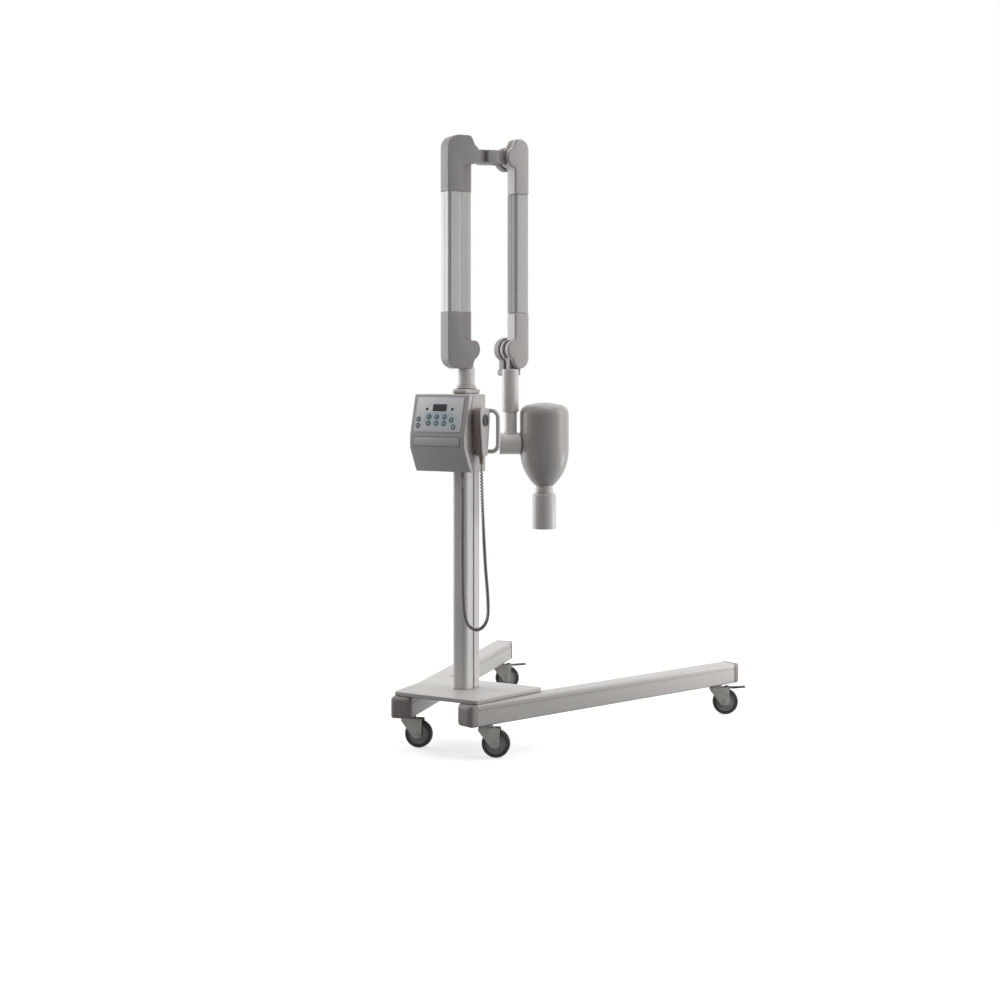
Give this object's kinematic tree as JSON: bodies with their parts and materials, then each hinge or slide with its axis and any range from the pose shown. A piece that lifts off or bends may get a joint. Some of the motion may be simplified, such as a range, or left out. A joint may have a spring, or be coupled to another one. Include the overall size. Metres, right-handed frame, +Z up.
{
  "type": "intraoral dental x-ray unit",
  "caption": "Mobile intraoral dental x-ray unit: V-shaped castered base, column with keypad box and hand switch, folding spring arms, drop tube and tilting tube head with an open cone.",
  "frame": {"origin": "on the floor, under the middle of the object's box without its curly cord", "axes": "+Z up from the floor, +Y towards the spread front ends of the legs, the keypad faces -Y, and the hand switch hangs on the +X side of the box"},
  "size_m": [0.9494, 1.0932, 1.768],
  "materials": {
    "arm_cover_plastic": "fine-grained warm grey moulding",
    "black_tyre": "smooth black tread",
    "charcoal_plastic": "charcoal moulding",
    "cord_sheath": "matt sheath",
    "display_window": "smoked window",
    "keypad_foil": "printed foil",
    "leg_cap_plastic": "dark grey moulding",
    "satin_alloy": "satin lacquered",
    "warm_white_enamel": "satin warm white enamel",
    "zinc_plated_steel": "zinc plated"
  },
  "bodies": {
    "stand": {"base_plate": "warm_white_enamel", "leg_left": "warm_white_enamel", "leg_right": "warm_white_enamel", "leg_cap_rear_left": "leg_cap_plastic", "leg_cap_rear_right": "leg_cap_plastic", "leg_cap_front_left": "leg_cap_plastic", "leg_cap_front_right": "leg_cap_plastic", "column": "satin_alloy", "column_cap": "arm_cover_plastic", "post_bush": "charcoal_plastic", "box_rear_shell": "warm_white_enamel", "box_front_shell": "warm_white_enamel", "keypad": "keypad_foil", "display_window": "display_window", "name_strip": "keypad_foil", "handset_holder": "charcoal_plastic", "push_handle": "satin_alloy", "box_relief": "charcoal_plastic", "coiled_cord": "cord_sheath"},
    "post": {"arm_post": "satin_alloy"},
    "lower_arm": {"lower_arm_beam": "satin_alloy", "lower_arm_foot_cover": "arm_cover_plastic", "lower_arm_head_cover": "arm_cover_plastic", "lower_arm_foot_pin": "zinc_plated_steel", "lower_arm_head_pin": "zinc_plated_steel"},
    "link_bar": {"crossbar": "arm_cover_plastic"},
    "upper_arm": {"upper_arm_beam": "satin_alloy", "upper_arm_foot_cover": "arm_cover_plastic", "upper_arm_head_cover": "arm_cover_plastic", "upper_arm_foot_pin": "zinc_plated_steel", "upper_arm_head_pin": "zinc_plated_steel"},
    "bracket": {"drop_bracket": "arm_cover_plastic"},
    "drop_arm": {"drop_tube": "satin_alloy", "elbow": "arm_cover_plastic"},
    "tube_head": {"head_shell": "arm_cover_plastic", "swivel_disc": "charcoal_plastic", "neck_ring": "arm_cover_plastic", "collimator_cone": "warm_white_enamel"},
    "handset": {"handset_back": "charcoal_plastic", "handset_face": "warm_white_enamel", "handset_relief": "charcoal_plastic"},
    "button": {"exposure_button": "charcoal_plastic"},
    "fork_rear_left": {"fork_rear_left": "zinc_plated_steel", "axle_rear_left": "zinc_plated_steel"},
    "wheel_rear_left": {"tyre_rear_left": "black_tyre", "hub_rear_left": "leg_cap_plastic"},
    "fork_rear_right": {"fork_rear_right": "zinc_plated_steel", "axle_rear_right": "zinc_plated_steel"},
    "wheel_rear_right": {"tyre_rear_right": "black_tyre", "hub_rear_right": "leg_cap_plastic"},
    "fork_front_left": {"fork_front_left": "zinc_plated_steel", "axle_front_left": "zinc_plated_steel"},
    "wheel_front_left": {"tyre_front_left": "black_tyre", "hub_front_left": "leg_cap_plastic"},
    "pedal_front_left": {"brake_pedal_front_left": "charcoal_plastic"},
    "fork_front_right": {"fork_front_right": "zinc_plated_steel", "axle_front_right": "zinc_plated_steel"},
    "wheel_front_right": {"tyre_front_right": "black_tyre", "hub_front_right": "leg_cap_plastic"},
    "pedal_front_right": {"brake_pedal_front_right": "charcoal_plastic"}
  },
  "joints": [
    {"name": "post_swivel", "type": "hinge", "parent": "stand", "child": "post", "pos_m": [-0.01902, -0.35945, 1.02], "axis": [0, 0, 1], "range_deg": [-60, 110]},
    {"name": "lower_arm_tilt", "type": "hinge", "parent": "post", "child": "lower_arm", "pos_m": [-0.01902, -0.35945, 1.149], "axis": [0.8829, -0.4695, 0], "range_deg": [-55, 0]},
    {"name": "link_bar_level", "type": "hinge", "parent": "lower_arm", "child": "link_bar", "pos_m": [-0.01902, -0.35945, 1.712], "axis": [0.8829, -0.4695, 0], "range_deg": [0, 55]},
    {"name": "upper_arm_tilt", "type": "hinge", "parent": "link_bar", "child": "upper_arm", "pos_m": [0.05515, -0.21995, 1.712], "axis": [0.8829, -0.4695, 0], "range_deg": [0, 110]},
    {"name": "bracket_level", "type": "hinge", "parent": "upper_arm", "child": "bracket", "pos_m": [0.05515, -0.21995, 1.149], "axis": [0.8829, -0.4695, 0], "range_deg": [-110, 0]},
    {"name": "drop_arm_swivel", "type": "hinge", "parent": "bracket", "child": "drop_arm", "pos_m": [0.05046, -0.22878, 0.966], "axis": [0, 0, 1], "range_deg": [-100, 140]},
    {"name": "head_tilt", "type": "hinge", "parent": "drop_arm", "child": "tube_head", "pos_m": [0.13237, -0.17142, 0.873], "axis": [0.8192, 0.5736, 0], "range_deg": [-90, 100]},
    {"name": "handset_lift", "type": "slide", "parent": "stand", "child": "handset", "axis": [0, 0, 1], "range_m": [0, 0.03]},
    {"name": "exposure_press", "type": "slide", "parent": "handset", "child": "button", "axis": [-1, 0, 0], "range_m": [0, 0.002], "stiffness_N_per_m": 500, "springref_m": -0.003},
    {"name": "caster_swivel_rear_left", "type": "hinge", "parent": "stand", "child": "fork_rear_left", "pos_m": [-0.15024, -0.46191, 0.094], "axis": [0, 0, 1], "continuous": true},
    {"name": "wheel_spin_rear_left", "type": "hinge", "parent": "fork_rear_left", "child": "wheel_rear_left", "pos_m": [-0.1217, -0.45264, 0.04], "axis": [-0.309, 0.9511, 0], "continuous": true},
    {"name": "caster_swivel_rear_right", "type": "hinge", "parent": "stand", "child": "fork_rear_right", "pos_m": [0.11219, -0.46191, 0.094], "axis": [0, 0, 1], "continuous": true},
    {"name": "wheel_spin_rear_right", "type": "hinge", "parent": "fork_rear_right", "child": "wheel_rear_right", "pos_m": [0.13959, -0.44971, 0.04], "axis": [-0.4067, 0.9135, 0], "continuous": true},
    {"name": "caster_swivel_front_left", "type": "hinge", "parent": "stand", "child": "fork_front_left", "pos_m": [-0.42564, 0.46191, 0.094], "axis": [0, 0, 1], "continuous": true},
    {"name": "wheel_spin_front_left", "type": "hinge", "parent": "fork_front_left", "child": "wheel_front_left", "pos_m": [-0.40137, 0.47954, 0.04], "axis": [-0.5878, 0.809, 0], "continuous": true},
    {"name": "brake_press_front_left", "type": "hinge", "parent": "fork_front_left", "child": "pedal_front_left", "pos_m": [-0.3949, 0.48425, 0.08375], "axis": [-0.5878, 0.809, 0], "range_deg": [0, 12]},
    {"name": "caster_swivel_front_right", "type": "hinge", "parent": "stand", "child": "fork_front_right", "pos_m": [0.38759, 0.46191, 0.094], "axis": [0, 0, 1], "continuous": true},
    {"name": "wheel_spin_front_right", "type": "hinge", "parent": "fork_front_right", "child": "wheel_front_right", "pos_m": [0.41357, 0.47691, 0.04], "axis": [-0.5, 0.866, 0], "continuous": true},
    {"name": "brake_press_front_right", "type": "hinge", "parent": "fork_front_right", "child": "pedal_front_right", "pos_m": [0.4205, 0.48091, 0.08375], "axis": [-0.5, 0.866, 0], "range_deg": [0, 12]}
  ],
  "couplings": [
    {"joint": "link_bar_level", "follows": "lower_arm_tilt", "ratio": -1},
    {"joint": "bracket_level", "follows": "upper_arm_tilt", "ratio": -1}
  ]
}
